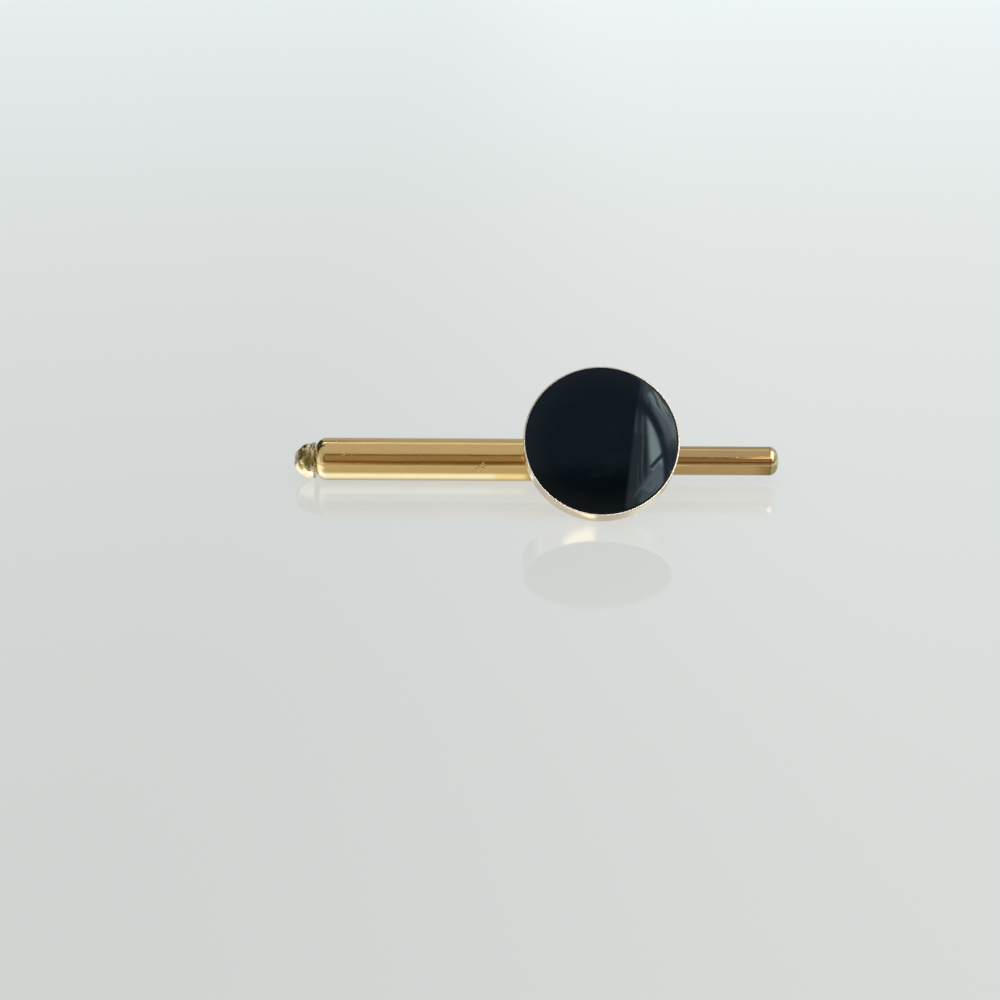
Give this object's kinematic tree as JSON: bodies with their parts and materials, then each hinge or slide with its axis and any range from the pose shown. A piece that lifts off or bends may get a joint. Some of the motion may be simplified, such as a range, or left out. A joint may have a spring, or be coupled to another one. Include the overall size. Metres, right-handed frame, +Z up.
{
  "type": "cufflink",
  "caption": "Cufflink with a round domed black stone in a gold cup and a telescoping gold bar behind it: thin rod at one end, rough knob at the other. Lies on its edge.",
  "frame": {"origin": "on the surface that the link lies on, below the middle of its box", "axes": "+X along the bar towards the rod's nose, +Z up, and the stone faces -Y and up"},
  "size_m": [0.05, 0.0148, 0.0134],
  "materials": {
    "polished_gold": "polished gold plating with fine scratches",
    "rod_gold": "gold plating, drawn lengthwise, slightly warmer",
    "hammered_gold": "rough hammered gold plating, dull in the hollows",
    "black_stone": "polished black onyx"
  },
  "bodies": {
    "link": {"mounting": "polished_gold", "onyx": "black_stone"},
    "plunger": {"rod": "rod_gold", "end_knob": "hammered_gold"}
  },
  "joints": [
    {"name": "rod_slide", "type": "slide", "parent": "link", "child": "plunger", "axis": [-1, 0, 0], "range_m": [0, 0.012], "stiffness_N_per_m": 60, "springref_m": -0.005}
  ]
}
